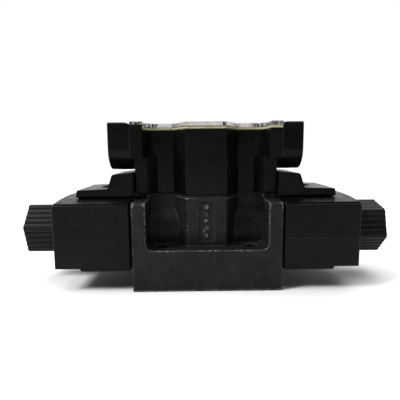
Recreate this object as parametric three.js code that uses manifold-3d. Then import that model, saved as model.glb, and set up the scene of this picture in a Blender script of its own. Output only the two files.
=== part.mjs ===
// A double-solenoid directional control valve with a central terminal box.
// Millimetres, +Z up. The origin is the middle of the mounting face; the spool
// runs along X and the side with the casting mark faces -Y.
import * as THREE from 'three';
import { mergeVertices } from 'three/addons/utils/BufferGeometryUtils.js';
import Module from 'manifold-3d';

const wasm = await Module();
wasm.setup();

// ---- driving dimensions ----------------------------------------------------

const GAP = 0.3; // clearance left between pieces that touch
const WELD = 1e-4;
const COARSE = 16; // facets round a small turned piece
const MEDIUM = 24; // facets round a winding space or a boss

// Cast body
const BODY_HALF_LENGTH = 43.4;
const BODY_HALF_WIDTH = 35;
const BODY_TOP = 53.6;
const POST_TOP = 52.3;
const POST_INNER = 35.2;
const POCKET_FLOOR = 24.6;
const POCKET_CORNER = 3;
const BARREL_RADIUS = 16.5;
const AXIS_HEIGHT = 31.6;
const CAST_EDGE = 0.6;
const CAST_CORNER = 0.9;
const SHOULDER_RADIUS = 3;

// Plan outline shared by the top of the casting, the box and the cover
const BULGE_HALF_LENGTH = 12;
const BULGE_FRONT = 25;
const RECESS_START = 20;
const RECESS_DEPTH = 9;
const RECESS_END = 30;
const RECESS_CORNER = 7;
const BOX_END = 43.7;
const LUG_INNER = 36.4;
const LUG_FRONT = 30;
const BOX_SHOULDER = 14;

// Bolt pattern and ports of the mounting face
const BOLT_X = 27;
const BOLT_Y = 23;
const BOLT_HOLE_RADIUS = 3.5;
const PORT_RADIUS = 5.25;
const PORTS = {
  p: { x: 0, y: -16.7, top: AXIS_HEIGHT + 5 },
  a: { x: -10.3, y: -1.6, top: AXIS_HEIGHT },
  b: { x: 10.3, y: -1.6, top: AXIS_HEIGHT },
  t_left: { x: -23.8, y: 9.5, top: AXIS_HEIGHT },
  t_right: { x: 23.8, y: 9.5, top: AXIS_HEIGHT },
};
const PORT_SEAL_RADIUS = 6.9;
const PORT_SEAL_SECTION = 0.85;
const PORT_RECESS_RADIUS = 8.1;
const PORT_RECESS_DEPTH = 2.1;

// Spool, bore and the parts that move with it
const BORE_RADIUS = 10;
const BORE_END = 33.2;
const GROOVE_RADIUS = 12.3;
const GROOVE_HALF_WIDTH = 3;
const SPOOL_RADIUS = 9.6;
const SPOOL_WAIST = 5.5;
const SPOOL_END = 31;
const SPOOL_STROKE = 3.5;
const SEAT_THICKNESS = 1.5;
const SEAT_RADIUS = 9.2;
const PIN_RADIUS = 2.9;
const SPRING_RADIUS = 6.6;
const SPRING_WIRE = 0.8;
const SPRING_TURNS = 4;

// Core tube, one each side
const THREAD_RADIUS = 13;
const TUBE_START = 33.6;
const POLE_START = 45;
const POLE_END = 52;
const COLLAR_RADIUS = 16;
const COLLAR_START = 43.7;
const COLLAR_END = 45.7;
const TUBE_RADIUS = 11;
const CHAMBER_RADIUS = 9.4;
const CHAMBER_END = 91.3;
const STUD_START = 92;
const STUD_RADIUS = 9.5;
const TUBE_END = 108.5;
const ARMATURE_RADIUS = 9;
const ARMATURE_START = POLE_END + SPOOL_STROKE + 0.5;
const ARMATURE_LENGTH = 28;
const OVERRIDE_RADIUS = 2.5;
const OVERRIDE_START = 91;
const OVERRIDE_END = 110.6;
const OVERRIDE_SEAL_X = 100.6;

// Coil, one each side
const COIL_START = 44.5;
const COIL_END = 88.3;
const COIL_HALF_WIDTH = 35;
const COIL_SHOULDER = 19.3; // front edge above and below the spool axis
const COIL_CROWN = 22.3; // top of the arch above the spool axis
const COIL_BELLY = 21.4; // bottom of the arch below the spool axis
const COIL_DRAFT = 0.35;
const COIL_SEAM = 1; // height of the moulding seam above the spool axis
const COIL_RAIL_WIDTH = 1.5;
const COIL_RAIL_STEP = 0.7;
const COIL_STEP_X = 73.3;
const COIL_STEP_Z = 14.2;
const COIL_EDGE = 0.6;
const COIL_BORE = 11.5;
const SEAL_POCKET_END = 48;
const FRAME_START = 49;
const FRAME_END = 85.2;
const FRAME_PLATE = 3;
const FRAME_HALF_WIDTH = 31;
const FRAME_SIDE = 4;
const FRAME_HALF_HEIGHT = 15;
const BOBBIN_INNER = 11.7;
const BOBBIN_OUTER = 12.8;
const BOBBIN_FLANGE = 16.8;
const BOBBIN_FLANGE_THICKNESS = 1.6;
const PAD_TOP = 54.9;
const PAD_HALF_WIDTH = 15.2;
const PAD_END = 78.8;

// Coil plug, one each side
const PLUG_BOTTOM = PAD_TOP + GAP;
const PLUG_SKIRT = 53.7;
const PLUG_END = 79;
const PLUG_HALF_WIDTH = 20;
const NOSE_HALF_WIDTH = 8;
const NOSE_BOTTOM = 60.5;
const NOSE_TOP = 66.3;
const NOSE_START = 40.6;

// Coil nut, one each side
const NUT_START = 88.6;
const NUT_END = 113.1;
const NUT_CORNER_RADIUS = 17.4;
const NUT_RIBS_PER_FLAT = 5;
const NUT_GROOVE_DEPTH = 0.7;
const NUT_TURN_RIGHT = THREE.MathUtils.degToRad(15);
const NUT_TURN_LEFT = THREE.MathUtils.degToRad(11.5);
const NUT_WINDOW_RADIUS = 5.5;

// Terminal box
const BOX_BOTTOM = 55.2;
const BOX_TOP = 93.9;
const BOX_WALL = 2.4;
const BOX_FLOOR = 58;
const LUG_BOTTOM = 77.2;
const BOSS_END = 60.1;
const BOSS_RADIUS = 12.8;
const BOSS_TOP = 98.8;
const CONDUIT_HEIGHT = 82.5;
const CONDUIT_RADIUS = 10;
const SKIRT_TOP = 96.3;
const SKIRT_THICKNESS = 1.4;

// Cover and its screws
const COVER_GASKET_TOP = 95.3;
const COVER_BOTTOM = COVER_GASKET_TOP + GAP;
const COVER_TOP = 98.1;
const COVER_SCREW_X = 40.1;
const COVER_SCREW_Y = 20.4;
const SCREW_SEAT = 97;
const SCREW_RECESS_RADIUS = 3.1;

// Pieces inside the box
const BOX_SCREW_X = 31;
const BLOCK_HALF_LENGTH = 24;
const BLOCK_HALF_WIDTH = 5.6;
const BLOCK_TOP = 70;
const TERMINALS = 6;
const TERMINAL_PITCH = 7.4;
const BOARD_HALF_LENGTH = 9.6;
const BOARD_FRONT = -21;
const BOARD_BACK = -7.5;
const BOARD_BOTTOM = 72;
const BOARD_THICKNESS = 1.6;
const LAMP_X = 5.6;
const LAMP_Y = -15;

// ---- materials -------------------------------------------------------------

function paint(color, roughness, metalness) {
  return () => new THREE.MeshStandardMaterial({ color, roughness, metalness });
}

const castIron = paint(0x2f2d2b, 0.62, 0.55);
const blackPlastic = paint(0x17181a, 0.42, 0);
const nutPlastic = paint(0x202123, 0.5, 0);
const clearPlastic = paint(0xdfe3df, 0.1, 0);
const gasketRubber = paint(0xb9b48e, 0.75, 0);
const sealRubber = paint(0x121212, 0.8, 0);
const groundSteel = paint(0xb6b8ba, 0.25, 1);
const platedSteel = paint(0x9a9ea2, 0.35, 1);
const springSteel = paint(0x7d8084, 0.3, 1);
const copper = paint(0xb5663a, 0.35, 1);
const bobbinNylon = paint(0xd9d3c2, 0.55, 0);
const blockPlastic = paint(0xc9c7bd, 0.5, 0);
const brass = paint(0xc4a24f, 0.35, 1);
const boardGreen = paint(0x1f5a33, 0.55, 0);
const lampRed = paint(0x8d1b16, 0.25, 0);
const lampGreen = paint(0x1c7a34, 0.25, 0);

// ---- shape helpers ---------------------------------------------------------

function toSolid(geometry) {
  const bare = geometry.clone();
  bare.deleteAttribute('normal');
  bare.deleteAttribute('uv');
  const welded = mergeVertices(bare, WELD);
  const corners = welded.index.array;
  const kept = [];
  for (let i = 0; i < corners.length; i += 3) {
    const [a, b, c] = [corners[i], corners[i + 1], corners[i + 2]];
    if (a !== b && b !== c && a !== c) kept.push(a, b, c);
  }
  return new wasm.Manifold(new wasm.Mesh({
    numProp: 3,
    vertProperties: new Float32Array(welded.attributes.position.array),
    triVerts: new Uint32Array(kept),
  }));
}

function toMesh(name, solid, material) {
  const { vertProperties, triVerts } = solid.getMesh();
  const geometry = new THREE.BufferGeometry();
  geometry.setAttribute('position', new THREE.BufferAttribute(new Float32Array(vertProperties), 3));
  geometry.setIndex(new THREE.BufferAttribute(new Uint32Array(triVerts), 1));
  const flat = geometry.toNonIndexed();
  flat.computeVertexNormals();
  const mesh = new THREE.Mesh(flat, material());
  mesh.name = name;
  return mesh;
}

// A closed outline through the points, each corner eased by its own radius.
function outline(points) {
  const shape = new THREE.Shape();
  points.forEach(([x, y, radius = 0], i) => {
    const corner = new THREE.Vector2(x, y);
    const before = new THREE.Vector2(...points.at(i - 1)).sub(corner);
    const after = new THREE.Vector2(...points[(i + 1) % points.length]).sub(corner);
    const reach = radius / Math.tan(Math.abs(cornerAngle(before, after)) / 2);
    const from = corner.clone().addScaledVector(before.normalize(), reach);
    const to = corner.clone().addScaledVector(after.normalize(), reach);
    if (i === 0) shape.moveTo(from.x, from.y);
    else shape.lineTo(from.x, from.y);
    if (radius > 0) shape.quadraticCurveTo(x, y, to.x, to.y);
  });
  return shape;
}

function cornerAngle(before, after) {
  return Math.acos(THREE.MathUtils.clamp(before.dot(after) / (before.length() * after.length()), -1, 1));
}

function extrude(shape, length, { edge = 0, bevelSegments = 1, curveSegments = 3 } = {}) {
  return new THREE.ExtrudeGeometry(shape, {
    depth: length - 2 * edge,
    bevelEnabled: edge > 0,
    bevelThickness: edge,
    bevelSize: edge,
    bevelOffset: -edge,
    bevelSegments,
    curveSegments,
  }).translate(0, 0, edge);
}

// Extrusions of an outline drawn in plan, from the front, or from the side.
function upright(shape, bottom, top, options) {
  return toSolid(extrude(shape, top - bottom, options).translate(0, 0, bottom));
}

function lengthwise(shape, start, end, options) {
  const axes = new THREE.Matrix4().makeBasis(
    new THREE.Vector3(0, 1, 0),
    new THREE.Vector3(0, 0, 1),
    new THREE.Vector3(1, 0, 0),
  );
  return toSolid(extrude(shape, end - start, options).applyMatrix4(axes).translate(start, 0, 0));
}

function crosswise(shape, front, back, options) {
  const axes = new THREE.Matrix4().makeBasis(
    new THREE.Vector3(1, 0, 0),
    new THREE.Vector3(0, 0, 1),
    new THREE.Vector3(0, -1, 0),
  );
  return toSolid(extrude(shape, back - front, options).applyMatrix4(axes).translate(0, back, 0));
}

function box([x0, x1], [y0, y1], [z0, z1]) {
  const geometry = new THREE.BoxGeometry(x1 - x0, y1 - y0, z1 - z0);
  return toSolid(geometry.translate((x0 + x1) / 2, (y0 + y1) / 2, (z0 + z1) / 2));
}

// A turned piece: the profile lists [radius, distance along the axis].
function turned(profile, segments) {
  const points = profile.map(([radius, along]) => new THREE.Vector2(radius, along));
  const closed = profile[0][0] === 0 ? points : [...points, points[0].clone()];
  if (THREE.ShapeUtils.area(closed) < 0) closed.reverse();
  return new THREE.LatheGeometry(closed, segments);
}

function turnedAlongX(profile, segments = COARSE) {
  return toSolid(turned(profile, segments).rotateZ(-Math.PI / 2).translate(0, 0, AXIS_HEIGHT));
}

function turnedUpright(profile, x, y, segments = COARSE) {
  return toSolid(turned(profile, segments).rotateX(Math.PI / 2).translate(x, y, 0));
}

function rod(radius, start, end) {
  return [[0, start], [radius, start], [radius, end], [0, end]];
}

function ring(inner, outer, start, end) {
  return [[inner, start], [outer, start], [outer, end], [inner, end]];
}

function hole(x, y, radius, bottom, top, segments = COARSE) {
  return turnedUpright(rod(radius, bottom, top), x, y, segments);
}

function sealRing(radius, section) {
  return new THREE.TorusGeometry(radius, section, 6, COARSE);
}

function sealAlongX(radius, section, x) {
  return toSolid(sealRing(radius, section).rotateY(Math.PI / 2).translate(x, 0, AXIS_HEIGHT));
}

function atFourCorners(build) {
  return [[-1, -1], [1, -1], [1, 1], [-1, 1]].map(([sx, sy]) => build(sx, sy));
}

function joined(first, ...others) {
  return others.flat().reduce((solid, other) => solid.add(other), first);
}

function cut(first, ...others) {
  return others.flat().reduce((solid, other) => solid.subtract(other), first);
}

// ---- plan outlines ---------------------------------------------------------

// The quarter from the middle of the front to the end, mirrored all round.
function mirroredOutline(quarter) {
  const right = [...quarter, ...[...quarter].reverse().map(([x, y, r]) => [x, -y, r])];
  const left = [...right].reverse().map(([x, y, r]) => [-x, y, r]);
  return outline([...right, ...left]);
}

function bulgeQuarter(inset) {
  return [
    [BULGE_HALF_LENGTH - inset * 0.6, inset - BULGE_FRONT, 1.5],
    [RECESS_START - inset * 0.6, inset - RECESS_DEPTH, 1.5],
  ];
}

function boxPlan(inset) {
  return mirroredOutline([
    ...bulgeQuarter(inset),
    [LUG_INNER + inset, inset - RECESS_DEPTH, RECESS_CORNER],
    [LUG_INNER + inset, inset - LUG_FRONT, 0.8],
    [BOX_END - inset, inset - LUG_FRONT, 0.8],
  ]);
}

function lowerBoxPlan(inset) {
  return mirroredOutline([
    ...bulgeQuarter(inset),
    [RECESS_END, inset - RECESS_DEPTH, 1.5],
    [LUG_INNER, inset - BOX_SHOULDER, 1.5],
    [BOX_END - inset, inset - BOX_SHOULDER, 0.8],
  ]);
}

function corePlan() {
  return mirroredOutline([...bulgeQuarter(0), [POST_INNER + 2, -RECESS_DEPTH, 0]]);
}

// ---- valve body and spool --------------------------------------------------

function castingBlock() {
  const side = BODY_HALF_WIDTH;
  const profile = outline([
    [-side, 0, CAST_CORNER],
    [side, 0, CAST_CORNER],
    [side, POST_TOP, SHOULDER_RADIUS],
    [-side, POST_TOP, SHOULDER_RADIUS],
  ]);
  return lengthwise(profile, -BODY_HALF_LENGTH, BODY_HALF_LENGTH, { edge: CAST_EDGE });
}

function boltPocketCut() {
  const profile = outline([
    [-POST_INNER, POCKET_FLOOR, POCKET_CORNER],
    [POST_INNER, POCKET_FLOOR, POCKET_CORNER],
    [POST_INNER, BODY_TOP + 5],
    [-POST_INNER, BODY_TOP + 5],
  ]);
  return crosswise(profile, -BODY_HALF_WIDTH - 1, BODY_HALF_WIDTH + 1);
}

function boreBarrel() {
  const profile = new THREE.Shape();
  profile.moveTo(-BARREL_RADIUS, POCKET_FLOOR - 2);
  profile.lineTo(BARREL_RADIUS, POCKET_FLOOR - 2);
  profile.absarc(0, AXIS_HEIGHT, BARREL_RADIUS, 0, Math.PI, false);
  return lengthwise(profile, -POST_INNER - 1, POST_INNER + 1, { curveSegments: 8 });
}

// The top of each end wall stands proud of the posts to carry the box.
function boxLandings() {
  const depth = [-BOX_SHOULDER + 1, BOX_SHOULDER - 1];
  const height = [POST_TOP - 4, BODY_TOP];
  const outer = BODY_HALF_LENGTH - CAST_EDGE;
  return [
    box([-outer, -POST_INNER], depth, height),
    box([POST_INNER, outer], depth, height),
  ];
}

function spoolBoreCut() {
  const grooveCentres = [-23.8, -10.3, 0, 10.3, 23.8];
  const grooves = grooveCentres.flatMap((x) => [
    [BORE_RADIUS, x - GROOVE_HALF_WIDTH],
    [GROOVE_RADIUS, x - GROOVE_HALF_WIDTH],
    [GROOVE_RADIUS, x + GROOVE_HALF_WIDTH],
    [BORE_RADIUS, x + GROOVE_HALF_WIDTH],
  ]);
  const thread = THREAD_RADIUS + GAP;
  const sealPocket = COLLAR_RADIUS - 0.6;
  const sealFloor = BODY_HALF_LENGTH - 2.3;
  const past = BODY_HALF_LENGTH + 1;
  return turnedAlongX([
    [0, -past],
    [sealPocket, -past],
    [sealPocket, -sealFloor],
    [thread, -sealFloor],
    [thread, -BORE_END],
    [BORE_RADIUS, -BORE_END],
    ...grooves,
    [BORE_RADIUS, BORE_END],
    [thread, BORE_END],
    [thread, sealFloor],
    [sealPocket, sealFloor],
    [sealPocket, past],
    [0, past],
  ]);
}

function portCuts() {
  const drillings = Object.values(PORTS).flatMap(({ x, y, top }) => [
    hole(x, y, PORT_RADIUS, -1, top),
    hole(x, y, PORT_RECESS_RADIUS, -1, PORT_RECESS_DEPTH),
  ]);
  const { p } = PORTS;
  const pressureCross = box([-2.6, 2.6], [p.y, -BORE_RADIUS / 2], [AXIS_HEIGHT - 3.5, AXIS_HEIGHT + 3.5]);
  return [...drillings, pressureCross];
}

// A sunk panel with plain raised pips, in place of foundry lettering.
function castingMark() {
  const depth = 0.6;
  const front = -BULGE_FRONT;
  const panel = crosswise(
    outline([[-4.4, 27.6, 0.6], [4.4, 27.6, 0.6], [4.4, 51.2, 0.6], [-4.4, 51.2, 0.6]]),
    front - 1,
    front + depth,
    { curveSegments: 2 },
  );
  const pipHeights = [30.6, 35, 39.4, 43.8, 48.2];
  const pips = pipHeights.map((z) => toSolid(
    new THREE.CylinderGeometry(1.5, 1.8, depth + 1, 10).rotateX(Math.PI / 2).translate(0, front + 0.6, z),
  ));
  return { panel, pips };
}

function valveBody() {
  const boltHoles = atFourCorners((sx, sy) => (
    hole(sx * BOLT_X, sy * BOLT_Y, BOLT_HOLE_RADIUS, -1, POCKET_FLOOR + 1)
  ));
  const boxScrewHoles = [-1, 1].map((side) => (
    hole(side * BOX_SCREW_X, 0, 2.3, 45.6, BODY_TOP + 1, 12)
  ));
  const mark = castingMark();
  const core = upright(corePlan(), POCKET_FLOOR - 2, BODY_TOP);
  const casting = joined(cut(castingBlock(), boltPocketCut()), core, boreBarrel(), boxLandings());
  const marked = joined(cut(casting, mark.panel), mark.pips);
  return cut(marked, spoolBoreCut(), portCuts(), boltHoles, boxScrewHoles);
}

function spool() {
  const half = [
    [SPOOL_WAIST, 4.5],
    [SPOOL_RADIUS, 5.5],
    [SPOOL_RADIUS, 15.5],
    [SPOOL_WAIST, 16.5],
    [SPOOL_WAIST, 26.5],
    [SPOOL_RADIUS, 27.5],
    [SPOOL_RADIUS, SPOOL_END - 0.8],
    [SPOOL_RADIUS - 0.8, SPOOL_END],
    [0, SPOOL_END],
  ];
  const other = [...half].reverse().map(([radius, along]) => [radius, -along]);
  return turnedAlongX([...other, ...half]);
}

function springSeat() {
  const start = SPOOL_END + GAP;
  return turnedAlongX(ring(PIN_RADIUS + 0.5, SEAT_RADIUS, start, start + SEAT_THICKNESS));
}

class HelixAlongX extends THREE.Curve {
  constructor(start, end) {
    super();
    this.start = start;
    this.end = end;
  }

  getPoint(t, target = new THREE.Vector3()) {
    const turn = 2 * Math.PI * SPRING_TURNS * t;
    const along = THREE.MathUtils.lerp(this.start, this.end, t);
    return target.set(along, SPRING_RADIUS * Math.cos(turn), AXIS_HEIGHT + SPRING_RADIUS * Math.sin(turn));
  }
}

function centringSpring() {
  const wire = new THREE.Shape();
  wire.absarc(0, 0, SPRING_WIRE, 0, 2 * Math.PI, false);
  const start = SPOOL_END + SEAT_THICKNESS + 2 * GAP + SPRING_WIRE;
  const end = POLE_START - GAP - SPRING_WIRE;
  return toSolid(new THREE.ExtrudeGeometry(wire, {
    steps: SPRING_TURNS * 10,
    curveSegments: 3,
    extrudePath: new HelixAlongX(start, end),
  }));
}

function pushPin() {
  return turnedAlongX(rod(PIN_RADIUS, SPOOL_END + GAP, ARMATURE_START - GAP));
}

// ---- solenoid --------------------------------------------------------------

function coreTube() {
  const pinHole = PIN_RADIUS + 0.5;
  const overrideHole = OVERRIDE_RADIUS + GAP;
  const grooveHalf = 0.95;
  const springHollow = BORE_RADIUS + 0.2;
  return turnedAlongX([
    [springHollow, TUBE_START],
    [THREAD_RADIUS, TUBE_START],
    [THREAD_RADIUS, COLLAR_START],
    [COLLAR_RADIUS, COLLAR_START],
    [COLLAR_RADIUS, COLLAR_END],
    [TUBE_RADIUS, COLLAR_END],
    [TUBE_RADIUS, STUD_START - 1],
    [STUD_RADIUS, STUD_START],
    [STUD_RADIUS, TUBE_END - 1],
    [STUD_RADIUS - 1, TUBE_END],
    [overrideHole, TUBE_END],
    [overrideHole, OVERRIDE_SEAL_X + grooveHalf],
    [overrideHole + 1.6, OVERRIDE_SEAL_X + grooveHalf],
    [overrideHole + 1.6, OVERRIDE_SEAL_X - grooveHalf],
    [overrideHole, OVERRIDE_SEAL_X - grooveHalf],
    [overrideHole, CHAMBER_END],
    [CHAMBER_RADIUS, CHAMBER_END],
    [CHAMBER_RADIUS, POLE_END],
    [pinHole, POLE_END],
    [pinHole, POLE_START],
    [springHollow, POLE_START],
  ]);
}

function armature() {
  const end = ARMATURE_START + ARMATURE_LENGTH;
  const chamfer = 1;
  return turnedAlongX([
    [0, ARMATURE_START],
    [ARMATURE_RADIUS - chamfer, ARMATURE_START],
    [ARMATURE_RADIUS, ARMATURE_START + chamfer],
    [ARMATURE_RADIUS, end - chamfer],
    [ARMATURE_RADIUS - chamfer, end],
    [0, end],
  ]);
}

function overridePin() {
  return turnedAlongX([
    [0, OVERRIDE_START],
    [OVERRIDE_RADIUS, OVERRIDE_START],
    [OVERRIDE_RADIUS, OVERRIDE_END - 0.7],
    [OVERRIDE_RADIUS - 0.7, OVERRIDE_END],
    [0, OVERRIDE_END],
  ]);
}

// Half outline of the coil moulding seen from its end, from front seam to top.
function coilSection() {
  const side = COIL_HALF_WIDTH;
  const low = AXIS_HEIGHT - COIL_SHOULDER;
  const high = AXIS_HEIGHT + COIL_SHOULDER;
  const drafted = side - COIL_DRAFT;
  const rail = drafted - COIL_RAIL_WIDTH;
  const section = new THREE.Shape();
  section.moveTo(-side, AXIS_HEIGHT + COIL_SEAM);
  section.lineTo(-drafted, low + 1);
  section.quadraticCurveTo(-drafted, low, -drafted + 1, low);
  section.quadraticCurveTo(0, 2 * (AXIS_HEIGHT - COIL_BELLY) - low, drafted - 1, low);
  section.quadraticCurveTo(drafted, low, drafted, low + 1);
  section.lineTo(side, AXIS_HEIGHT + COIL_SEAM);
  section.lineTo(drafted, high);
  section.lineTo(rail, high);
  section.lineTo(rail - COIL_RAIL_STEP / 2, high + COIL_RAIL_STEP);
  section.quadraticCurveTo(
    0,
    2 * (AXIS_HEIGHT + COIL_CROWN) - high - COIL_RAIL_STEP,
    -rail + COIL_RAIL_STEP / 2,
    high + COIL_RAIL_STEP,
  );
  section.lineTo(-rail, high);
  section.lineTo(-drafted, high);
  return section;
}

function frameSolid(clearance) {
  const height = [AXIS_HEIGHT - FRAME_HALF_HEIGHT - clearance, AXIS_HEIGHT + FRAME_HALF_HEIGHT + clearance];
  const outerY = FRAME_HALF_WIDTH + clearance;
  const innerY = FRAME_HALF_WIDTH - FRAME_SIDE - clearance;
  const outer = box([FRAME_START - clearance, FRAME_END + clearance], [-outerY, outerY], height);
  const inner = box(
    [FRAME_START + FRAME_PLATE + clearance, FRAME_END - FRAME_PLATE - clearance],
    [-innerY, innerY],
    [height[0] - 1, height[1] + 1],
  );
  return outer.subtract(inner);
}

function fluxFrame() {
  return frameSolid(0).subtract(turnedAlongX(rod(COIL_BORE, FRAME_START - 1, FRAME_END + 1), MEDIUM));
}

function coilHousing() {
  const shell = lengthwise(coilSection(), COIL_START, COIL_END, { edge: COIL_EDGE, bevelSegments: 2, curveSegments: 8 });
  const pad = upright(outline([
    [COIL_START + 0.3, -PAD_HALF_WIDTH, 1],
    [PAD_END, -PAD_HALF_WIDTH, 1],
    [PAD_END, PAD_HALF_WIDTH, 1],
    [COIL_START + 0.3, PAD_HALF_WIDTH, 1],
  ]), AXIS_HEIGHT + COIL_SHOULDER - 1, PAD_TOP, { curveSegments: 2 });
  const underStep = box(
    [COIL_STEP_X, COIL_END + 1],
    [-COIL_HALF_WIDTH - 1, COIL_HALF_WIDTH + 1],
    [0, COIL_STEP_Z],
  );
  const core = turnedAlongX([
    [0, COIL_START - 1],
    [COLLAR_RADIUS + GAP, COIL_START - 1],
    [COLLAR_RADIUS + GAP, SEAL_POCKET_END],
    [COIL_BORE, SEAL_POCKET_END],
    [COIL_BORE, COIL_END + 1],
    [0, COIL_END + 1],
  ], MEDIUM);
  const windingSpace = turnedAlongX(rod(
    BOBBIN_FLANGE + GAP,
    FRAME_START + FRAME_PLATE - 1,
    FRAME_END - FRAME_PLATE + 1,
  ), MEDIUM);
  return cut(joined(shell, pad), underStep, core, windingSpace, frameSolid(GAP));
}

function coilBobbin() {
  const start = FRAME_START + FRAME_PLATE + GAP;
  const end = FRAME_END - FRAME_PLATE - GAP;
  return turnedAlongX([
    [BOBBIN_INNER, start],
    [BOBBIN_FLANGE, start],
    [BOBBIN_FLANGE, start + BOBBIN_FLANGE_THICKNESS],
    [BOBBIN_OUTER, start + BOBBIN_FLANGE_THICKNESS],
    [BOBBIN_OUTER, end - BOBBIN_FLANGE_THICKNESS],
    [BOBBIN_FLANGE, end - BOBBIN_FLANGE_THICKNESS],
    [BOBBIN_FLANGE, end],
    [BOBBIN_INNER, end],
  ]);
}

function coilWinding() {
  const inset = FRAME_PLATE + BOBBIN_FLANGE_THICKNESS + 2 * GAP;
  return turnedAlongX(ring(
    BOBBIN_OUTER + GAP,
    BOBBIN_FLANGE - 0.4,
    FRAME_START + inset,
    FRAME_END - inset,
  ));
}

// The plug lies on the coil pad, reaches down past both sides of it and turns up against
// the side of the box.
function coilPlug() {
  const inner = BOX_END + GAP;
  const profile = outline([
    [inner, PLUG_SKIRT],
    [PLUG_END, PLUG_SKIRT, 0.8],
    [78.2, 58.3, 0.9],
    [59.6, 58.9],
    [59.1, 60.6],
    [56.8, 67.5, 0.9],
    [inner, 68.7, 0.8],
  ]);
  const shell = crosswise(profile, -PLUG_HALF_WIDTH, PLUG_HALF_WIDTH, { edge: 0.4, curveSegments: 2 });
  const padSide = PAD_HALF_WIDTH + GAP;
  const padSpace = box([inner - 1, PLUG_END + 1], [-padSide, padSide], [PLUG_SKIRT - 1, PLUG_BOTTOM]);
  const latch = crosswise(outline([[58.9, 58.4], [67, 58.4], [67, 59], [58.9, 60.8]]), -4.5, 4.5);
  const nose = box(
    [NOSE_START, inner + 2],
    [-NOSE_HALF_WIDTH, NOSE_HALF_WIDTH],
    [NOSE_BOTTOM, NOSE_TOP],
  );
  return joined(cut(shell, padSpace), latch, nose);
}

// A hexagon whose flats carry shallow grooves that leave rounded ribs.
function nutOutline() {
  const shape = new THREE.Shape();
  const points = [];
  const ribShape = [[0.12, 0], [0.88, 0], [1, -NUT_GROOVE_DEPTH]];
  for (let side = 0; side < 6; side += 1) {
    const from = new THREE.Vector2(NUT_CORNER_RADIUS, 0).rotateAround(new THREE.Vector2(), side * Math.PI / 3);
    const to = from.clone().rotateAround(new THREE.Vector2(), Math.PI / 3);
    const outward = from.clone().add(to).normalize();
    for (let rib = 0; rib < NUT_RIBS_PER_FLAT; rib += 1) {
      const last = rib === NUT_RIBS_PER_FLAT - 1;
      ribShape.slice(0, last ? 2 : 3).forEach(([share, height]) => {
        const along = (rib + share) / NUT_RIBS_PER_FLAT;
        points.push(from.clone().lerp(to, along).addScaledVector(outward, height));
      });
    }
  }
  shape.setFromPoints(points);
  return shape;
}

function coilNut(turn) {
  const body = toSolid(extrude(nutOutline(), NUT_END - NUT_START, { edge: 0.4 })
    .rotateZ(turn)
    .rotateY(Math.PI / 2)
    .translate(NUT_START, 0, AXIS_HEIGHT));
  const sealRecess = 14.4;
  const bore = turnedAlongX([
    [0, NUT_START - 1],
    [sealRecess, NUT_START - 1],
    [sealRecess, NUT_START + 1.4],
    [TUBE_RADIUS + GAP, NUT_START + 1.4],
    [TUBE_RADIUS + GAP, STUD_START + GAP],
    [STUD_RADIUS + GAP, STUD_START + GAP],
    [STUD_RADIUS + GAP, TUBE_END + GAP],
    [NUT_WINDOW_RADIUS, TUBE_END + GAP],
    [NUT_WINDOW_RADIUS, NUT_END + 1],
    [0, NUT_END + 1],
  ]);
  return cut(body, bore);
}

// ---- terminal box ----------------------------------------------------------

function conduitBoss() {
  const profile = new THREE.Shape();
  profile.moveTo(BOSS_RADIUS, CONDUIT_HEIGHT);
  profile.lineTo(BOSS_RADIUS, BOSS_TOP);
  profile.lineTo(-BOSS_RADIUS, BOSS_TOP);
  profile.lineTo(-BOSS_RADIUS, CONDUIT_HEIGHT);
  profile.absarc(0, CONDUIT_HEIGHT, BOSS_RADIUS, Math.PI, 2 * Math.PI, false);
  const boss = lengthwise(profile, BOX_END - 1, BOSS_END, { edge: 0.5, curveSegments: 8 });
  const overCover = box([0, BOX_END + 1.6], [-20, 20], [BOX_TOP, BOSS_TOP + 1]);
  const slope = crosswise(outline([
    [BOX_END, BOSS_TOP - 1.9],
    [49.4, BOSS_TOP],
    [49.4, BOSS_TOP + 1],
    [BOX_END, BOSS_TOP + 1],
  ]), -20, 20);
  return cut(boss, overCover, slope);
}

function mirroredEnds(solid) {
  return [solid, solid.mirror([1, 0, 0])];
}

function terminalBox() {
  const lower = upright(lowerBoxPlan(0), BOX_BOTTOM, LUG_BOTTOM + 1);
  const upper = upright(boxPlan(0), LUG_BOTTOM, BOX_TOP);
  const skirt = box(
    [-BOX_END, -LUG_INNER],
    [-LUG_FRONT, -LUG_FRONT + SKIRT_THICKNESS],
    [BOX_TOP - 2, SKIRT_TOP],
  );
  const lowerHollow = upright(lowerBoxPlan(BOX_WALL), BOX_FLOOR, BOX_TOP + 1, { curveSegments: 2 });
  const conduits = mirroredEnds(lengthwise(
    new THREE.Shape().absarc(0, CONDUIT_HEIGHT, CONDUIT_RADIUS, 0, 2 * Math.PI, false),
    LUG_INNER,
    BOSS_END + 1,
    { curveSegments: MEDIUM / 2 },
  ));
  const plugSlots = mirroredEnds(box(
    [LUG_INNER, BOX_END + 1],
    [-NOSE_HALF_WIDTH - GAP, NOSE_HALF_WIDTH + GAP],
    [NOSE_BOTTOM - GAP, NOSE_TOP + GAP],
  ));
  const coverScrewHoles = atFourCorners((sx, sy) => (
    hole(sx * COVER_SCREW_X, sy * COVER_SCREW_Y, 1.8, 83, BOX_TOP + 1, 10)
  ));
  const boxScrewHoles = [-1, 1].map((side) => hole(side * BOX_SCREW_X, 0, 2.3, BOX_BOTTOM - 1, BOX_FLOOR + 1, 12));
  const boardPosts = [-1, 1].map((side) => hole(side * 7, -14, 1.8, BOX_FLOOR - 1, BOARD_BOTTOM - GAP, 10));
  const shell = joined(lower, upper, skirt, mirroredEnds(conduitBoss()));
  const hollow = cut(shell, lowerHollow, conduits, plugSlots, coverScrewHoles, boxScrewHoles);
  return joined(hollow, boardPosts);
}

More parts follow.
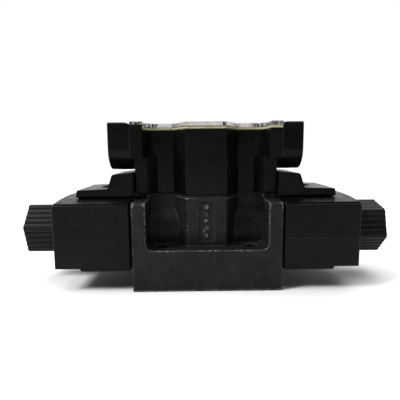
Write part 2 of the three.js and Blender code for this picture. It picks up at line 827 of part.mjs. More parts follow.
function boxGasket() {
  const sheet = upright(lowerBoxPlan(0.8), BODY_TOP + GAP, BOX_BOTTOM - GAP, { curveSegments: 2 });
  const middle = upright(lowerBoxPlan(3.4), BODY_TOP, BOX_BOTTOM, { curveSegments: 2 });
  return cut(sheet, middle);
}

// The front left corner of the cover steps back behind the skirt of the box.
function skirtNotch() {
  return box([-BOX_END - 1, -LUG_INNER + 1], [-LUG_FRONT - 1, -LUG_FRONT + SKIRT_THICKNESS + GAP], [90, 100]);
}

function coverScrewClearance() {
  return atFourCorners((sx, sy) => turnedUpright([
    [0, BOX_TOP],
    [1.9, BOX_TOP],
    [1.9, SCREW_SEAT - GAP],
    [SCREW_RECESS_RADIUS, SCREW_SEAT - GAP],
    [SCREW_RECESS_RADIUS, COVER_TOP + 1],
    [0, COVER_TOP + 1],
  ], sx * COVER_SCREW_X, sy * COVER_SCREW_Y, 12));
}

function coverGasket() {
  const sheet = upright(boxPlan(0.2), BOX_TOP + GAP, COVER_GASKET_TOP);
  const middle = upright(lowerBoxPlan(2.6), BOX_TOP, COVER_GASKET_TOP + 1, { curveSegments: 2 });
  return cut(sheet, middle, skirtNotch(), coverScrewClearance());
}

function clearCover() {
  const sheet = upright(boxPlan(0), COVER_BOTTOM, COVER_TOP, { edge: 0.4 });
  return cut(sheet, skirtNotch(), coverScrewClearance());
}

function slotRecess(x, y, head, reach) {
  return box([x - reach, x + reach], [y - 0.45, y + 0.45], [head - 0.8, head + 1]);
}

function crossRecess(x, y, head, reach) {
  return [
    slotRecess(x, y, head, reach),
    box([x - 0.45, x + 0.45], [y - reach, y + reach], [head - 0.8, head + 1]),
  ];
}

function panHeadScrew(x, y, { tip, seat, head, headRadius, shankRadius, facets = 12 }) {
  return turnedUpright([
    [0, tip],
    [shankRadius, tip],
    [shankRadius, seat],
    [headRadius, seat],
    [headRadius, head - 0.7],
    [headRadius - 0.8, head],
    [0, head],
  ], x, y, facets);
}

function coverScrew(sx, sy) {
  const [x, y] = [sx * COVER_SCREW_X, sy * COVER_SCREW_Y];
  const size = { tip: 84, seat: SCREW_SEAT, head: 98.9, headRadius: 2.9, shankRadius: 1.5 };
  return cut(panHeadScrew(x, y, size), crossRecess(x, y, size.head, 1.6));
}

function boxScrew(side) {
  const size = { tip: 46.2, seat: BOX_FLOOR + GAP, head: 61, headRadius: 3.7, shankRadius: 2 };
  return cut(panHeadScrew(side * BOX_SCREW_X, 0, size), slotRecess(side * BOX_SCREW_X, 0, size.head, 2.8));
}

function terminalX(index) {
  return (index - (TERMINALS - 1) / 2) * TERMINAL_PITCH;
}

function terminalBlock() {
  const bottom = BOX_FLOOR + GAP;
  const depth = [-BLOCK_HALF_WIDTH, BLOCK_HALF_WIDTH];
  const block = box([-BLOCK_HALF_LENGTH, BLOCK_HALF_LENGTH], depth, [bottom, BLOCK_TOP]);
  const wells = Array.from({ length: TERMINALS }, (_, i) => [
    hole(terminalX(i), 0, 3, BLOCK_TOP - 4, BLOCK_TOP + 1, 8),
    hole(terminalX(i), 0, 1.8, bottom + 2, BLOCK_TOP, 6),
    box([terminalX(i) - 2.2, terminalX(i) + 2.2], [-BLOCK_HALF_WIDTH - 1, -2.5], [60.5, 64.5]),
  ]).flat();
  return cut(block, wells);
}

function terminalScrew(index) {
  const size = {
    tip: 61,
    seat: BLOCK_TOP - 3.7,
    head: BLOCK_TOP - 1.4,
    headRadius: 2.5,
    shankRadius: 1.3,
    facets: 8,
  };
  return cut(panHeadScrew(terminalX(index), 0, size), slotRecess(terminalX(index), 0, size.head, 2));
}

function circuitBoard() {
  return box(
    [-BOARD_HALF_LENGTH, BOARD_HALF_LENGTH],
    [BOARD_FRONT, BOARD_BACK],
    [BOARD_BOTTOM, BOARD_BOTTOM + BOARD_THICKNESS],
  );
}

function indicatorLamp(side) {
  const seat = BOARD_BOTTOM + BOARD_THICKNESS + GAP;
  return turnedUpright([
    [0, seat],
    [2.9, seat],
    [2.9, seat + 1],
    [2.5, seat + 1],
    [2.5, seat + 4.4],
    [1.8, seat + 6],
    [0, seat + 6.8],
  ], side * LAMP_X, LAMP_Y, 12);
}

// ---- assembly --------------------------------------------------------------

function solenoidSide(side) {
  const group = new THREE.Group();
  group.name = `${side}_solenoid`;
  if (side === 'left') group.rotation.z = Math.PI;
  const nutTurn = side === 'left' ? NUT_TURN_LEFT : NUT_TURN_RIGHT;
  group.add(
    toMesh(`core_tube_${side}`, coreTube(), platedSteel),
    toMesh(`tube_seal_${side}`, sealAlongX(14.25, 0.8, BODY_HALF_LENGTH - 1.15), sealRubber),
    toMesh(`armature_${side}`, armature(), groundSteel),
    toMesh(`push_pin_${side}`, pushPin(), groundSteel),
    toMesh(`spring_seat_${side}`, springSeat(), platedSteel),
    toMesh(`centring_spring_${side}`, centringSpring(), springSteel),
    toMesh(`override_pin_${side}`, overridePin(), groundSteel),
    toMesh(`override_seal_${side}`, sealAlongX(3.6, 0.55, OVERRIDE_SEAL_X), sealRubber),
    toMesh(`coil_housing_${side}`, coilHousing(), blackPlastic),
    toMesh(`coil_winding_${side}`, coilWinding(), copper),
    toMesh(`coil_bobbin_${side}`, coilBobbin(), bobbinNylon),
    toMesh(`flux_frame_${side}`, fluxFrame(), platedSteel),
    toMesh(`coil_seal_${side}`, sealAlongX(13.4, 0.8, COLLAR_END + 1.15), sealRubber),
    toMesh(`nut_seal_${side}`, sealAlongX(12.9, 0.65, NUT_START + 0.5), sealRubber),
    toMesh(`coil_plug_${side}`, coilPlug(), blackPlastic),
    toMesh(`coil_nut_${side}`, coilNut(nutTurn), nutPlastic),
  );
  return group;
}

function portSeals() {
  return Object.entries(PORTS).map(([port, { x, y }]) => {
    const height = 0.1 + PORT_SEAL_SECTION;
    const seal = toSolid(sealRing(PORT_SEAL_RADIUS, PORT_SEAL_SECTION).translate(x, y, height));
    return toMesh(`port_seal_${port}`, seal, sealRubber);
  });
}

function coverScrews() {
  return atFourCorners((sx, sy) => {
    const name = `cover_screw_${sy < 0 ? 'front' : 'back'}_${sx < 0 ? 'left' : 'right'}`;
    return toMesh(name, coverScrew(sx, sy), platedSteel);
  });
}

function terminalScrews() {
  return Array.from({ length: TERMINALS }, (_, i) => (
    toMesh(`terminal_screw_${i + 1}`, terminalScrew(i), brass)
  ));
}

const valve = new THREE.Group();
valve.name = 'solenoid_directional_valve';
valve.add(
  toMesh('valve_body', valveBody(), castIron),
  toMesh('spool', spool(), groundSteel),
  solenoidSide('left'),
  solenoidSide('right'),
  ...portSeals(),
  toMesh('terminal_box', terminalBox(), blackPlastic),
  toMesh('box_gasket', boxGasket(), sealRubber),
  toMesh('cover_gasket', coverGasket(), gasketRubber),
  toMesh('clear_cover', clearCover(), clearPlastic),
  ...coverScrews(),
  toMesh('box_screw_left', boxScrew(-1), platedSteel),
  toMesh('box_screw_right', boxScrew(1), platedSteel),
  toMesh('terminal_block', terminalBlock(), blockPlastic),
  ...terminalScrews(),
  toMesh('circuit_board', circuitBoard(), boardGreen),
  toMesh('lamp_left', indicatorLamp(-1), lampGreen),
  toMesh('lamp_right', indicatorLamp(1), lampRed),
);

export default valve;
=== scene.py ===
"""Looks of the solenoid directional valve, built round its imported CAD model.

Shapes are drawn in millimetres in the row frame and scaled to metres when a piece is
finished. The spool runs along X, the front of the valve faces -Y, and Z is up.
"""

import math

import bmesh
import bpy
from mathutils import Matrix, Vector, noise


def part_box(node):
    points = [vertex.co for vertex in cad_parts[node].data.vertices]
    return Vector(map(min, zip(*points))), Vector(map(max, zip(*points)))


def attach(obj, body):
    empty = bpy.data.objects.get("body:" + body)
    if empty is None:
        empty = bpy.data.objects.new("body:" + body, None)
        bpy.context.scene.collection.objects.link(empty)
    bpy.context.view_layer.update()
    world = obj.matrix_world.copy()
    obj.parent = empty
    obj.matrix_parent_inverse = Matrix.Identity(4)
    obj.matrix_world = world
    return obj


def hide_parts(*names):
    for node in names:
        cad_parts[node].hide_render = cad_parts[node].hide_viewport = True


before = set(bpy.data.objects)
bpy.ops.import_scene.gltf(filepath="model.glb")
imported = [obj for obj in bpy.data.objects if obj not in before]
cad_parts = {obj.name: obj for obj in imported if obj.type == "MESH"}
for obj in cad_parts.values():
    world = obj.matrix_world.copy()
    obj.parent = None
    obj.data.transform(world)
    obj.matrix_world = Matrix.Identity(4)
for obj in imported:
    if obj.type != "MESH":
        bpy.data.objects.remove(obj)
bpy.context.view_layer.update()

MM = 0.001
LEFT, RIGHT = -1, 1
SIDES = {"left": LEFT, "right": RIGHT}
ROUND = 48  # facets round a visible turned surface


# ---- places taken from the CAD -------------------------------------------------


def span(node):
    """The lowest and highest corner of a CAD node, in millimetres."""
    low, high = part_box(node)
    return low / MM, high / MM


body_low, body_high = span("valve_body")
coil_low, coil_high = span("coil_housing_right")
nut_low, nut_high = span("coil_nut_right")
box_low, box_high = span("terminal_box")
cover_low, cover_high = span("clear_cover")
gasket_low, gasket_high = span("cover_gasket")
tube_low, tube_high = span("core_tube_right")
plug_low, plug_high = span("coil_plug_right")
screw_low, screw_high = span("cover_screw_front_right")

AXIS = (tube_low.z + tube_high.z) / 2  # height of the spool axis
HALF_WIDTH = body_high.y
BODY_END = body_high.x
POST_TOP = 52.3
POST_INNER = 35.2
POCKET_FLOOR = 24.6
BARREL = 16.5  # radius of the casting round the spool bore
BULGE = (12, -25)  # corner of the front bulge in plan
RECESS = (20, -9)  # foot of its slope
BOLT = (27, 23)
BOLT_RADIUS = 3.5
SPOOL_BORE = 10
BORE_GROOVE = 12.3
PORT_RADIUS = 5.25
PORT_RECESS = (8.1, 2.1)  # radius and depth
BOX_SCREW_X = 31
BOX_SCREW_HOLE = 2.3
BOX_END = cover_high.x
LUG_INNER = 36.4
LUG_FRONT = box_low.y
LUG_BOTTOM = 77.2
BOX_TOP = gasket_low.z - 0.3
CONDUIT = (82.5, 10.0, 12.8)  # height, bore radius and boss radius
NUT_CORNER = 17.4
SEAM = AXIS + 1  # height of the seam round the coil mouldings
COIL_SHOULDER = 19.3
COIL_BORE = 11.5
COIL_STEP = (73.3, 14.2)  # start and height of the step under the outer end
SEAL_POCKET = (16.3, 48)  # radius and end
PAD = (78.8, 15.2)  # end and half width
FRAME_X = (49, 85.2)
FRAME_HALF_WIDTH = 31
FRAME_HALF_HEIGHT = 15
FRAME_END_PLATE = 3
FRAME_SIDE_PLATE = 4
GAP = 0.3
SCREW_AT = ((screw_low.x + screw_high.x) / 2, -(screw_low.y + screw_high.y) / 2)


def corners(x, y):
    """The four points with those distances from the middle."""
    return [(sx * x, sy * y) for sx in (LEFT, RIGHT) for sy in (-1, 1)]


def both_sides(x):
    return [(sx * x, 0) for sx in (LEFT, RIGHT)]


# ---- outlines ------------------------------------------------------------------


def eased(points, steps=6):
    """An outline through the points, each corner rounded by its third value."""
    outline = []
    for i, (x, y, *radius) in enumerate(points):
        here = Vector((x, y))
        if not radius or radius[0] == 0:
            outline.append(here)
            continue
        before = (Vector(points[i - 1][:2]) - here).normalized()
        after = (Vector(points[(i + 1) % len(points)][:2]) - here).normalized()
        half = before.angle(after) / 2
        centre = here + (before + after).normalized() * radius[0] / math.sin(half)
        start = here + before * radius[0] / math.tan(half) - centre
        end = here + after * radius[0] / math.tan(half) - centre
        turn = -start.angle_signed(end)
        for k in range(steps + 1):
            outline.append(centre + Matrix.Rotation(turn * k / steps, 2) @ start)
    return outline


def signed_area(outline):
    pairs = zip(outline, outline[1:] + outline[:1])
    return sum(a.x * b.y - a.y * b.x for a, b in pairs) / 2


def inset(outline, depth):
    """The outline moved inwards by a small depth."""
    if depth == 0:
        return list(outline)
    side = math.copysign(1, signed_area(outline))
    moved = []
    for i, here in enumerate(outline):
        before = (here - outline[i - 1]).normalized()
        after = (outline[(i + 1) % len(outline)] - here).normalized()
        first = Vector((-before.y, before.x)) * side
        second = Vector((-after.y, after.x)) * side
        moved.append(here + (first + second) * depth / (1 + max(first.dot(second), -0.5)))
    return moved


def mirrored(quarter):
    """A full outline from its quarter, which runs from the front to the end."""
    right = quarter + [(x, -y, r) for x, y, r in reversed(quarter)]
    return right + [(-x, y, r) for x, y, r in reversed(right)]


def arc(centre, radius, start, end, steps):
    """Points on an arc, with its angles in degrees."""
    turns = [math.radians(start + (end - start) * k / steps) for k in range(steps + 1)]
    return [Vector((centre[0] + radius * math.cos(t), centre[1] + radius * math.sin(t))) for t in turns]


# ---- solids --------------------------------------------------------------------


def new_object(name, bm):
    bmesh.ops.remove_doubles(bm, verts=bm.verts, dist=1e-4)
    bmesh.ops.recalc_face_normals(bm, faces=bm.faces)
    mesh = bpy.data.meshes.new(name)
    bm.to_mesh(mesh)
    bm.free()
    made = bpy.data.objects.new(name, mesh)
    bpy.context.scene.collection.objects.link(made)
    return made


def placed(axis, x, y, height):
    """A point of an outline at a height, for an extrusion along that axis."""
    return {"X": (height, x, y), "Y": (x, height, y), "Z": (x, y, height)}[axis]


def edge_levels(low, high, low_edge, high_edge, steps):
    """(inset, height) of the loops of an extrusion with rounded ends."""
    quarter = [math.radians(90 * k / steps) for k in range(steps + 1)]
    levels = [(0, low)]
    if low_edge:
        levels = [(low_edge * (1 - math.sin(t)), low + low_edge * (1 - math.cos(t))) for t in quarter]
    if not high_edge:
        return levels + [(0, high)]
    rounded = [(high_edge * (1 - math.sin(t)), high - high_edge * (1 - math.cos(t))) for t in quarter]
    return levels + rounded[::-1]


def prism(name, outline, axis, low, high, low_edge=0.0, high_edge=None, steps=3):
    """A solid with that outline along an axis, its two ends rounded."""
    high_edge = low_edge if high_edge is None else high_edge
    bm = bmesh.new()
    loops = [
        [bm.verts.new(placed(axis, p.x, p.y, height)) for p in inset(outline, depth)]
        for depth, height in edge_levels(low, high, low_edge, high_edge, steps)
    ]
    skin(bm, loops)
    bm.faces.new(loops[0])
    bm.faces.new(loops[-1])
    return new_object(name, bm)


def skin(bm, loops):
    for lower, upper in zip(loops, loops[1:]):
        for i in range(len(lower)):
            j = (i + 1) % len(lower)
            bm.faces.new((lower[i], lower[j], upper[j], upper[i]))


def turned(name, profile, axis="X", centre=(0, AXIS), facets=ROUND):
    """A turned solid. The profile is (radius, height) and starts and ends on the axis."""
    bm = bmesh.new()
    rings = []
    for radius, height in profile:
        count = facets if radius else 1
        turns = [2 * math.pi * k / facets for k in range(count)]
        ring = [(centre[0] + radius * math.cos(t), centre[1] + radius * math.sin(t)) for t in turns]
        rings.append([bm.verts.new(placed(axis, x, y, height)) for x, y in ring])
    for lower, upper in zip(rings, rings[1:]):
        for k in range(facets):
            face = [lower[k % len(lower)], lower[(k + 1) % len(lower)]]
            face += [upper[(k + 1) % len(upper)], upper[k % len(upper)]]
            face = list(dict.fromkeys(face))
            if len(face) > 2:
                bm.faces.new(face)
    return new_object(name, bm)


def rod(name, radius, low, high, axis="X", centre=(0, AXIS), facets=ROUND):
    return turned(name, [(0, low), (radius, low), (radius, high), (0, high)], axis, centre, facets)


def block(name, x, y, z, edge=0.0):
    """A rectangular solid between pairs of limits."""
    outline = [Vector(p) for p in ((x[0], y[0]), (x[1], y[0]), (x[1], y[1]), (x[0], y[1]))]
    if edge:
        outline = eased([(p.x, p.y, 1.3 * edge) for p in outline], 3)
    return prism(name, outline, "Z", z[0], z[1], edge)


def torus(name, radius, section, axis, centre, height):
    """A ring of round section about an axis."""
    bm = bmesh.new()
    loops = []
    for i in range(ROUND):
        around = 2 * math.pi * i / ROUND
        loop = []
        for k in range(12):
            tilt = 2 * math.pi * k / 12
            reach = radius + section * math.cos(tilt)
            x, y = centre[0] + reach * math.cos(around), centre[1] + reach * math.sin(around)
            loop.append(bm.verts.new(placed(axis, x, y, height + section * math.sin(tilt))))
        loops.append(loop)
    skin(bm, loops + loops[:1])
    return new_object(name, bm)


def bake(obj):
    """Replaces the mesh by what its modifiers make of it."""
    bpy.context.view_layer.update()
    graph = bpy.context.evaluated_depsgraph_get()
    mesh = bpy.data.meshes.new_from_object(obj.evaluated_get(graph))
    obj.modifiers.clear()
    obj.data = mesh
    return obj


def triangulated(mesh):
    """Splits every face into triangles, so that a face with a hole in it keeps the hole."""
    bm = bmesh.new()
    bm.from_mesh(mesh)
    bmesh.ops.triangulate(bm, faces=bm.faces)
    bm.to_mesh(mesh)
    bm.free()


def combine(operation, target, *tools):
    """Joins or cuts closed solids with the solver that needs them closed and keeps them so."""
    for tool in tools:
        step = target.modifiers.new("combine", "BOOLEAN")
        step.operation = operation
        step.solver = "MANIFOLD"
        step.object = tool
    bake(target)
    triangulated(target.data)
    for tool in tools:
        bpy.data.objects.remove(tool)
    return target


def joined(target, *others):
    return combine("UNION", target, *others)


def cut(target, *tools):
    return combine("DIFFERENCE", target, *tools)


def bevelled(obj, width, segments=2, angle=30):
    step = obj.modifiers.new("edges", "BEVEL")
    step.width = width
    step.segments = segments
    step.limit_method = "ANGLE"
    step.angle_limit = math.radians(angle)
    return bake(obj)


def finish_piece(obj, body, material, nodes=(), smooth=35):
    """Scales a drawn piece to metres, parents it to its body and hides the CAD nodes it stands for."""
    obj.data.transform(Matrix.Scale(MM, 4))
    obj.data.materials.clear()
    obj.data.materials.append(material)
    obj.data.shade_smooth()
    obj.data.set_sharp_from_angle(angle=math.radians(smooth))
    normals = obj.modifiers.new("normals", "WEIGHTED_NORMAL")
    normals.keep_sharp = True
    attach(obj, body)
    if nodes:
        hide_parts(*nodes)
    return obj


# ---- materials -----------------------------------------------------------------


class Finish:
    """A material whose node tree is built up socket by socket."""

    def __init__(self, name):
        self.material = bpy.data.materials.new(name)
        self.material.use_nodes = True
        self.tree = self.material.node_tree
        self.shader = self.tree.nodes["Principled BSDF"]
        self.place = self.add("ShaderNodeTexCoord").outputs["Object"]

    def add(self, kind, **inputs):
        node = self.tree.nodes.new(kind)
        for key, value in inputs.items():
            self.put(node.inputs[key.replace("_", " ")], value)
        return node

    def put(self, socket, value):
        if isinstance(value, bpy.types.NodeSocket):
            self.tree.links.new(value, socket)
        else:
            socket.default_value = value

    def set(self, **inputs):
        for key, value in inputs.items():
            self.put(self.shader.inputs[key.replace("_", " ")], value)

    def stretched(self, x, y, z):
        """The object's own coordinates, stretched along each axis."""
        node = self.add("ShaderNodeMapping", Vector=self.place, Scale=(x, y, z))
        return node.outputs["Vector"]

    def grain(self, size, detail=4, roughness=0.55, place=None):
        """Noise whose features are about that many millimetres across."""
        node = self.add("ShaderNodeTexNoise", Vector=place or self.place, Scale=1 / (size * MM))
        self.put(node.inputs["Detail"], detail)
        self.put(node.inputs["Roughness"], roughness)
        return node.outputs["Fac"]

    def edges(self, start, end):
        """1 on sharp outer edges, 0 on flats and in hollows."""
        point = self.tree.nodes.new("ShaderNodeNewGeometry").outputs["Pointiness"]
        return self.levels(point, start, end, 0, 1)

    def levels(self, value, start, end, low, high):
        node = self.add("ShaderNodeMapRange", Value=value)
        for key, number in (("From Min", start), ("From Max", end), ("To Min", low), ("To Max", high)):
            self.put(node.inputs[key], number)
        return node.outputs["Result"]

    def times(self, first, second):
        node = self.tree.nodes.new("ShaderNodeMath")
        node.operation = "MULTIPLY"
        self.put(node.inputs[0], first)
        self.put(node.inputs[1], second)
        return node.outputs["Value"]

    def colours(self, value, low, high, start=0.35, end=0.65):
        node = self.add("ShaderNodeValToRGB", Fac=value)
        node.color_ramp.elements[0].position = start
        node.color_ramp.elements[1].position = end
        node.color_ramp.elements[0].color = (*low, 1)
        node.color_ramp.elements[1].color = (*high, 1)
        return node.outputs["Color"]

    def blend(self, share, first, second):
        """The first colour, turning into the second where the share is 1."""
        node = self.tree.nodes.new("ShaderNodeMix")
        node.data_type = "RGBA"
        self.put(node.inputs["Factor"], share)
        self.put(node.inputs[6], first)
        self.put(node.inputs[7], second)
        return node.outputs[2]

    def relief(self, *layers):
        """Bumps laid over one another: each is a height, a strength and a depth in mm."""
        normal = None
        for height, strength, depth in layers:
            node = self.add("ShaderNodeBump", Height=height, Strength=strength, Distance=depth * MM)
            if normal:
                self.put(node.inputs["Normal"], normal)
            normal = node.outputs["Normal"]
        self.put(self.shader.inputs["Normal"], normal)


def cast_iron():
    iron = Finish("cast_iron")
    patches = iron.grain(9, 5, 0.6)
    skin = iron.colours(patches, (0.0045, 0.0042, 0.0036), (0.0115, 0.0106, 0.009))
    speckle = iron.levels(iron.grain(0.9, 3), 0.62, 0.74, 0, 0.2)
    dusted = iron.blend(speckle, skin, (0.07, 0.065, 0.055, 1))
    bare = iron.times(iron.edges(0.515, 0.56), iron.levels(iron.grain(2.2, 4), 0.4, 0.6, 0.1, 1))
    iron.set(
        Base_Color=iron.blend(bare, dusted, (0.26, 0.245, 0.22, 1)),
        Metallic=0.1,
        Specular_IOR_Level=0.2,
        Roughness=iron.levels(iron.grain(1.6, 5), 0.3, 0.7, 0.42, 0.7),
    )
    iron.relief((iron.grain(0.45, 3, 0.6), 0.7, 0.14), (iron.grain(2.4, 4, 0.55), 0.5, 0.3))
    return iron.material


def moulded_plastic(name, dark, light, gloss):
    """A satin moulding with a fine spark-eroded texture, faint flow marks and handling."""
    plastic = Finish(name)
    flow = plastic.grain(14, 3, 0.5, plastic.stretched(0.35, 1, 1))
    handled = plastic.levels(plastic.grain(6, 4), 0.35, 0.7, gloss - 0.06, gloss + 0.08)
    plastic.set(
        Base_Color=plastic.blend(
            plastic.levels(plastic.edges(0.54, 0.64), 0, 1, 0, 0.35),
            plastic.colours(flow, dark, light),
            tuple(4 * c for c in light) + (1,),
        ),
        Roughness=handled,
        Specular_IOR_Level=0.08,
    )
    plastic.relief((plastic.grain(0.35, 2), 0.25, 0.05), (plastic.grain(7, 2), 0.12, 0.25))
    return plastic.material


def rubber(name, dark, light):
    skin = Finish(name)
    skin.set(
        Base_Color=skin.colours(skin.grain(3, 4), dark, light),
        Roughness=skin.levels(skin.grain(1.2, 3), 0.3, 0.7, 0.6, 0.8),
    )
    skin.relief((skin.grain(0.3, 2), 0.35, 0.05))
    return skin.material


def machined_metal(name, dark, light, low, high, lay=(1, 1, 1)):
    """Bare metal with tool marks running across the stretched axis."""
    metal = Finish(name)
    marks = metal.grain(0.5, 4, 0.6, metal.stretched(*lay))
    metal.set(
        Base_Color=metal.colours(metal.grain(2.5, 4), dark, light),
        Metallic=1.0,
        Roughness=metal.levels(marks, 0.3, 0.7, low, high),
    )
    metal.relief((marks, 0.2, 0.03))
    return metal.material


def wound_copper():
    wire = Finish("copper")
    turns = wire.add("ShaderNodeTexWave", Vector=wire.place, Scale=1 / (1.6 * MM)).outputs["Fac"]
    wire.set(
        Base_Color=wire.colours(turns, (0.32, 0.1, 0.035), (0.7, 0.27, 0.12), 0.1, 0.8),
        Metallic=0.9,
        Roughness=wire.levels(wire.grain(1), 0.3, 0.7, 0.25, 0.4),
    )
    wire.relief((turns, 0.8, 0.15))
    return wire.material


def clear_moulding():
    sheet = Finish("clear_plastic")
    haze = sheet.grain(5, 4)
    sheet.set(
        Base_Color=sheet.colours(haze, (0.42, 0.4, 0.39), (0.56, 0.54, 0.53)),
        Roughness=sheet.levels(haze, 0.3, 0.7, 0.04, 0.12),
        Transmission_Weight=0.97,
        IOR=1.58,
    )
    sheet.relief((sheet.grain(3, 3), 0.12, 0.12))
    return sheet.material


def printed_board():
    board = Finish("board_green")
    tracks = board.add("ShaderNodeTexBrick", Vector=board.place, Scale=1 / (9 * MM)).outputs["Fac"]
    board.set(
        Base_Color=board.colours(tracks, (0.012, 0.075, 0.03), (0.03, 0.15, 0.06), 0.2, 0.8),
        Roughness=board.levels(board.grain(2), 0.3, 0.7, 0.25, 0.4),
    )
    board.relief((tracks, 0.4, 0.05))
    return board.material


def lamp_lens(name, dark, light):
    lens = Finish(name)
    lens.set(
        Base_Color=lens.colours(lens.grain(1.5), dark, light),
        Roughness=lens.levels(lens.grain(0.8), 0.3, 0.7, 0.08, 0.2),
        Transmission_Weight=0.5,
        Coat_Weight=0.6,
    )
    lens.relief((lens.grain(0.9), 0.1, 0.05))
    return lens.material


CAST_IRON = cast_iron()
BLACK_PLASTIC = moulded_plastic("black_plastic", (0.0018, 0.0018, 0.0017), (0.0036, 0.0036, 0.0034), 0.3)
NUT_PLASTIC = moulded_plastic("nut_plastic", (0.007, 0.007, 0.0066), (0.012, 0.012, 0.0113), 0.33)
BLOCK_PLASTIC = moulded_plastic("block_plastic", (0.46, 0.45, 0.4), (0.56, 0.55, 0.5), 0.45)
BOBBIN_NYLON = moulded_plastic("bobbin_nylon", (0.55, 0.51, 0.42), (0.68, 0.64, 0.55), 0.5)
CLEAR_PLASTIC = clear_moulding()
GASKET_RUBBER = rubber("gasket_rubber", (0.32, 0.3, 0.17), (0.46, 0.43, 0.27))
SEAL_RUBBER = rubber("seal_rubber", (0.004, 0.004, 0.004), (0.011, 0.011, 0.011))
LENGTHWISE = (1, 0.1, 0.1)
GROUND_STEEL = machined_metal("ground_steel", (0.55, 0.56, 0.57), (0.68, 0.69, 0.7), 0.12, 0.28, LENGTHWISE)
PLATED_STEEL = machined_metal("plated_steel", (0.42, 0.43, 0.43), (0.62, 0.62, 0.6), 0.22, 0.4)
SPRING_STEEL = machined_metal("spring_steel", (0.24, 0.24, 0.25), (0.38, 0.38, 0.39), 0.2, 0.35)
BRASS = machined_metal("brass", (0.5, 0.36, 0.13), (0.7, 0.53, 0.24), 0.18, 0.34)
COPPER = wound_copper()
BOARD_GREEN = printed_board()
LAMP_RED = lamp_lens("lamp_red", (0.22, 0.008, 0.006), (0.42, 0.02, 0.014))
LAMP_GREEN = lamp_lens("lamp_green", (0.012, 0.2, 0.03), (0.03, 0.38, 0.07))


# ---- plan outlines -------------------------------------------------------------


def bulge(depth=0):
    return [
        (BULGE[0] - 0.6 * depth, BULGE[1] + depth, 1.5),
        (RECESS[0] - 0.6 * depth, RECESS[1] + depth, 1.5),
    ]


def box_plan(depth=0):
    """The outline of the cover and the top of the box, with its four corner lugs."""
    return eased(mirrored(bulge(depth) + [
        (LUG_INNER + depth, RECESS[1] + depth, 7),
        (LUG_INNER + depth, LUG_FRONT + depth, 0.8),
        (BOX_END - depth, LUG_FRONT + depth, 0.8),
    ]))


def lower_plan(depth=0):
    """The outline of the box below the lugs."""
    return eased(mirrored(bulge(depth) + [
        (30, RECESS[1] + depth, 1.5),
        (LUG_INNER, depth - 14, 1.5),
        (BOX_END - depth, depth - 14, 0.8),
    ]))


# ---- casting -------------------------------------------------------------------

PORTS = [span(f"port_seal_{port}") for port in ("p", "a", "b", "t_left", "t_right")]


def port_centre(limits):
    return (limits[0].x + limits[1].x) / 2, (limits[0].y + limits[1].y) / 2


def casting_mark():
    """A sunk panel down the front bulge with five plain pips."""
    front = BULGE[1]
    outline = eased([(-4.4, 27.6, 0.9), (4.4, 27.6, 0.9), (4.4, 51.2, 0.9), (-4.4, 51.2, 0.9)])
    panel = prism("panel", outline, "Y", front - 1, front + 0.8)
    pips = []
    for i in range(5):
        profile = [(0, front), (1.3, front), (1.9, front + 1.4), (0, front + 1.4)]
        pips.append(turned("pip", profile, "Y", (0, 30.6 + 4.4 * i), 20))
    return panel, pips


def oil_ways():
    """The spool bore with its five grooves, and the drillings up from the ports."""
    thread, counterbore = 13.3, 15.4
    shoulder, thread_end = BODY_END - 2.3, 33.2
    half = [(0, BODY_END + 1), (counterbore, BODY_END + 1), (counterbore, shoulder), (thread, shoulder)]
    half += [(thread, thread_end), (SPOOL_BORE, thread_end)]
    for centre in (23.8, 10.3):
        near, far = centre - 3, centre + 3
        half += [(SPOOL_BORE, far), (BORE_GROOVE, far), (BORE_GROOVE, near), (SPOOL_BORE, near)]
    half += [(SPOOL_BORE, 3), (BORE_GROOVE, 3)]
    bore = turned("bore", half + [(r, -x) for r, x in half[::-1]])
    ways = [bore]
    for limits in PORTS:
        centre = port_centre(limits)
        recess, depth = PORT_RECESS
        ways.append(rod("drilling", PORT_RADIUS, -1, AXIS, "Z", centre))
        ways.append(rod("seal_recess", recess, -1, depth, "Z", centre))
    return ways


def cast_block():
    side, top = HALF_WIDTH, POST_TOP
    end = eased([(-side, 0, 0.4), (side, 0, 0.4), (side, top, 3), (-side, top, 3)])
    block_of_iron = prism("valve_casting", end, "X", -BODY_END, BODY_END, 0.3)
    high = POST_TOP + 10
    pocket = eased([
        (-POST_INNER, POCKET_FLOOR, 3.4),
        (POST_INNER, POCKET_FLOOR, 3.4),
        (POST_INNER, high),
        (-POST_INNER, high),
    ])
    cut(block_of_iron, prism("pocket", pocket, "Y", -side - 1, side + 1))
    low = POCKET_FLOOR - 2
    column = prism("column", eased(mirrored(bulge() + [(37.2, -9, 0)])), "Z", low, body_high.z)
    barrel_end = [Vector((BARREL, low))] + arc((0, AXIS), BARREL, 0, 180, 32) + [Vector((-BARREL, low))]
    barrel = prism("barrel", barrel_end, "X", -POST_INNER - 1, POST_INNER + 1)
    landings = [
        block("landing", sorted((sign * POST_INNER, sign * (BODY_END - 0.8))), (-13, 13), (48, body_high.z))
        for sign in SIDES.values()
    ]
    return joined(block_of_iron, column, barrel, *landings)


